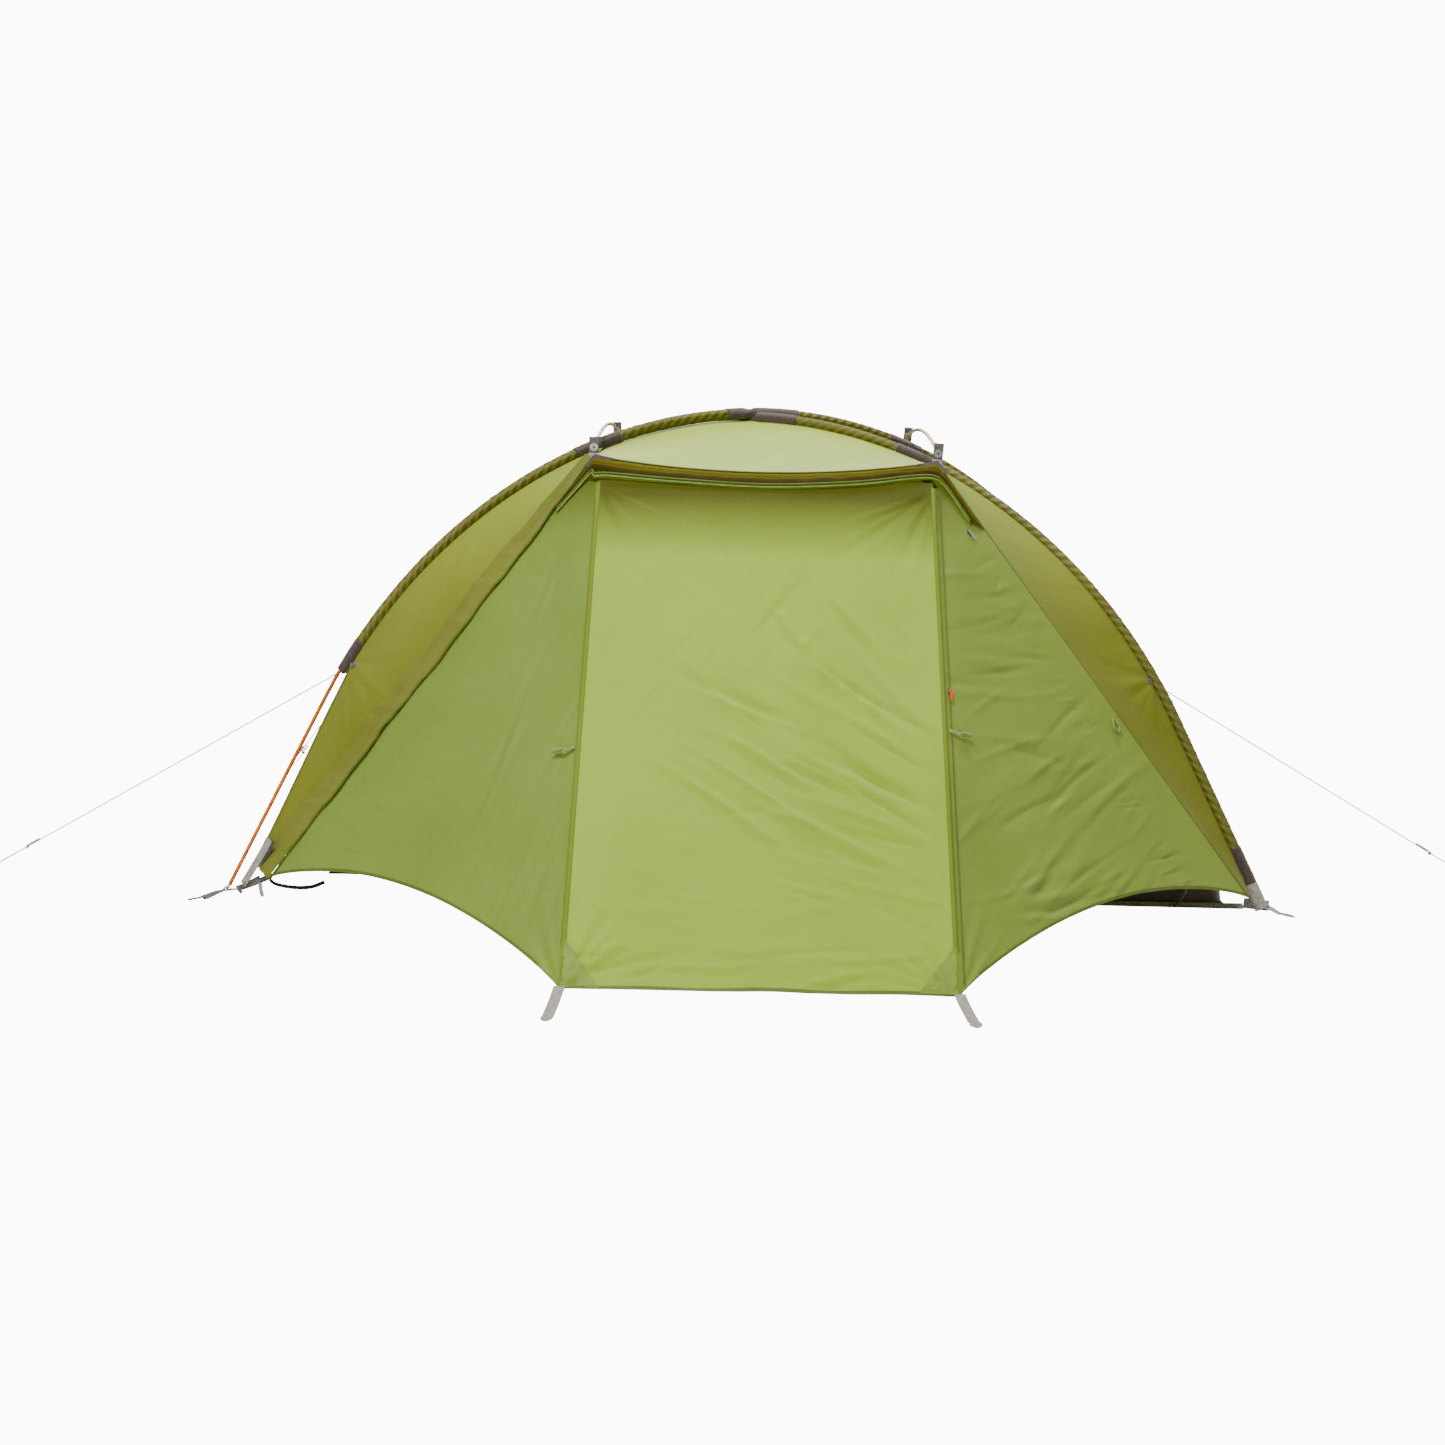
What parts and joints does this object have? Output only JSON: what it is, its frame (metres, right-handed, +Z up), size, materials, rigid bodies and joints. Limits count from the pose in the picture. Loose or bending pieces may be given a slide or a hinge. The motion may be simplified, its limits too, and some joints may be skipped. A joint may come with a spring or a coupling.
{
  "type": "dome tent",
  "caption": "Low freestanding crossed-pole dome tent with sleeved poles, short eave poles, an inner tent and staked zip porches on both long sides.",
  "frame": {"origin": "on the ground, under the middle of the groundsheet", "axes": "+X along the sleeping length, to the right seen from the front porch; +Y from the front porch to the rear porch; +Z up"},
  "size_m": [3.6078, 3.398, 1.1168],
  "materials": {
    "pole_anodised": "satin anodised",
    "pole_silver": "satin",
    "elastic": "woven cover",
    "fly_green": "coated ripstop, slight sheen",
    "sleeve_olive": "coated, ruffled",
    "patch_brown": "matte",
    "hood_olive": "coated, translucent",
    "zip_tape": "woven tape with coil teeth",
    "slider_metal": "painted",
    "pull_orange": "cord pull",
    "pull_grey": "cord pull",
    "webbing_grey": "woven webbing",
    "eyelet_metal": "satin",
    "buckle_dark": "moulded",
    "guyline_red": "braided",
    "knot_red": "braided",
    "tensioner_clear": "translucent",
    "floor_brown": "coated",
    "inner_cream": "breathable",
    "mesh_dark": "mesh",
    "toggle_green": "moulded"
  },
  "bodies": {
    "root": {"long_pole_a": "pole_anodised", "long_pole_b": "pole_anodised", "eave_poles": "pole_anodised", "pole_inserts": "pole_silver", "shock_cords": "elastic", "pole_tips": "pole_silver", "sleeve_a": "sleeve_olive", "sleeve_b": "sleeve_olive", "sleeve_patches": "patch_brown", "crown_patch": "patch_brown", "roof_front": "fly_green", "roof_rear": "fly_green", "canopy_left_front": "fly_green", "canopy_left_rear": "fly_green", "canopy_right_front": "fly_green", "canopy_right_rear": "fly_green", "end_left": "fly_green", "end_right": "fly_green", "right_wing_front": "fly_green", "right_wing_rear": "fly_green", "hood_front": "hood_olive", "hood_rear": "hood_olive", "storm_flap_front": "hood_olive", "storm_flap_rear": "hood_olive", "zip_front": "zip_tape", "zip_rear": "zip_tape", "top_sliders": "slider_metal", "eave_tabs": "webbing_grey", "eyelets": "eyelet_metal", "guy_tabs": "webbing_grey", "guyline_front_left": "guyline_red", "guyline_front_right": "guyline_red", "guyline_rear_left": "guyline_red", "guyline_knots": "knot_red", "tensioners": "tensioner_clear", "stake_loops": "webbing_grey", "base_straps": "webbing_grey", "ladder_locks": "buckle_dark", "pole_pockets": "webbing_grey", "tie_backs": "toggle_green", "groundsheet": "floor_brown", "inner_wall_front": "inner_cream", "inner_wall_rear": "inner_cream", "inner_doors": "mesh_dark", "inner_ends": "inner_cream", "inner_hooks": "buckle_dark"},
    "front_door": {"door_front": "fly_green", "door_stake_loop_front": "webbing_grey"},
    "rear_door": {"door_rear": "fly_green", "door_stake_loop_rear": "webbing_grey"},
    "front_wing": {"left_wing_front": "fly_green", "left_tie_front": "toggle_green"},
    "rear_wing": {"left_wing_rear": "fly_green", "left_tie_rear": "toggle_green"},
    "front_slider": {"side_slider_front": "slider_metal"},
    "rear_slider": {"side_slider_rear": "slider_metal"},
    "front_pull": {"side_pull_front": "pull_orange"},
    "rear_pull": {"side_pull_rear": "pull_orange"},
    "front_top_pull": {"top_pull_front": "pull_grey"},
    "rear_top_pull": {"top_pull_rear": "pull_grey"}
  },
  "joints": [
    {"name": "front_door_swing", "type": "hinge", "parent": "root", "child": "front_door", "pos_m": [0.395, -1.45, 0.002], "axis": [-0.0117, 0.6656, 0.7462], "range_deg": [0, 95]},
    {"name": "front_wing_fold", "type": "hinge", "parent": "front_door", "child": "front_wing", "pos_m": [-0.395, -1.45, 0.002], "axis": [0.0117, 0.6656, 0.7462], "range_deg": [0, 130]},
    {"name": "front_slider_travel", "type": "slide", "parent": "root", "child": "front_slider", "axis": [-0.0117, 0.6656, 0.7462], "range_m": [-0.6, 0.5]},
    {"name": "front_pull_lift", "type": "hinge", "parent": "front_slider", "child": "front_pull", "pos_m": [0.40368, -0.96202, 0.54669], "axis": [-0.8145, -0.4393, 0.379], "range_deg": [0, 150]},
    {"name": "front_top_pull_lift", "type": "hinge", "parent": "root", "child": "front_top_pull", "pos_m": [0.46279, -0.61662, 0.86318], "axis": [-0.5181, -0.7917, -0.3238], "range_deg": [0, 150]},
    {"name": "rear_door_swing", "type": "hinge", "parent": "root", "child": "rear_door", "pos_m": [0.395, 1.45, 0.002], "axis": [0.0117, 0.6656, -0.7462], "range_deg": [0, 95]},
    {"name": "rear_wing_fold", "type": "hinge", "parent": "rear_door", "child": "rear_wing", "pos_m": [-0.395, 1.45, 0.002], "axis": [-0.0117, 0.6656, -0.7462], "range_deg": [0, 130]},
    {"name": "rear_slider_travel", "type": "slide", "parent": "root", "child": "rear_slider", "axis": [-0.0117, -0.6656, 0.7462], "range_m": [-0.6, 0.5]},
    {"name": "rear_pull_lift", "type": "hinge", "parent": "rear_slider", "child": "rear_pull", "pos_m": [0.40368, 0.96202, 0.54669], "axis": [0.8145, -0.4393, -0.379], "range_deg": [0, 150]},
    {"name": "rear_top_pull_lift", "type": "hinge", "parent": "root", "child": "rear_top_pull", "pos_m": [0.46279, 0.61662, 0.86318], "axis": [0.5181, -0.7917, 0.3238], "range_deg": [0, 150]}
  ]
}
